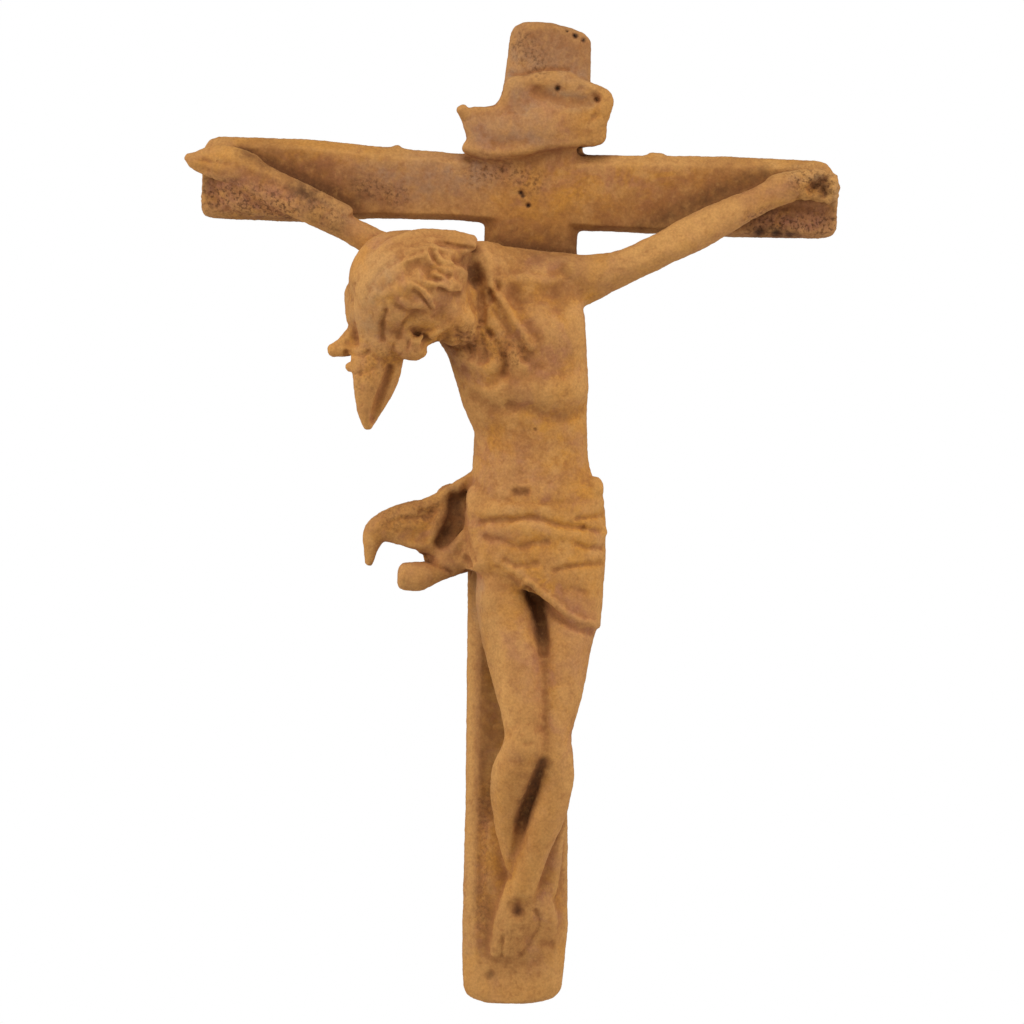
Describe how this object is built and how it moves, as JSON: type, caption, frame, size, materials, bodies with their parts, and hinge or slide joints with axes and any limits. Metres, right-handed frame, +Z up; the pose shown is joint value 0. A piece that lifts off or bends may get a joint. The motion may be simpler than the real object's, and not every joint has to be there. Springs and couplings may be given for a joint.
{
  "type": "crucifix",
  "caption": "Cast iron wall or grave crucifix: a bevelled cross with a bare scroll and a hanging figure in high relief, cast in one piece with a flat back.",
  "frame": {"origin": "on the flat back, where the beam's axis crosses the upright", "axes": "+Z up along the upright, +X along the beam to the viewer's right, the front faces -Y"},
  "size_m": [0.2141, 0.0526, 0.3204],
  "materials": {
    "rusted_iron": "matte ochre rust over cast iron"
  },
  "bodies": {
    "root": {"crucifix_casting": "rusted_iron"}
  },
  "joints": []
}
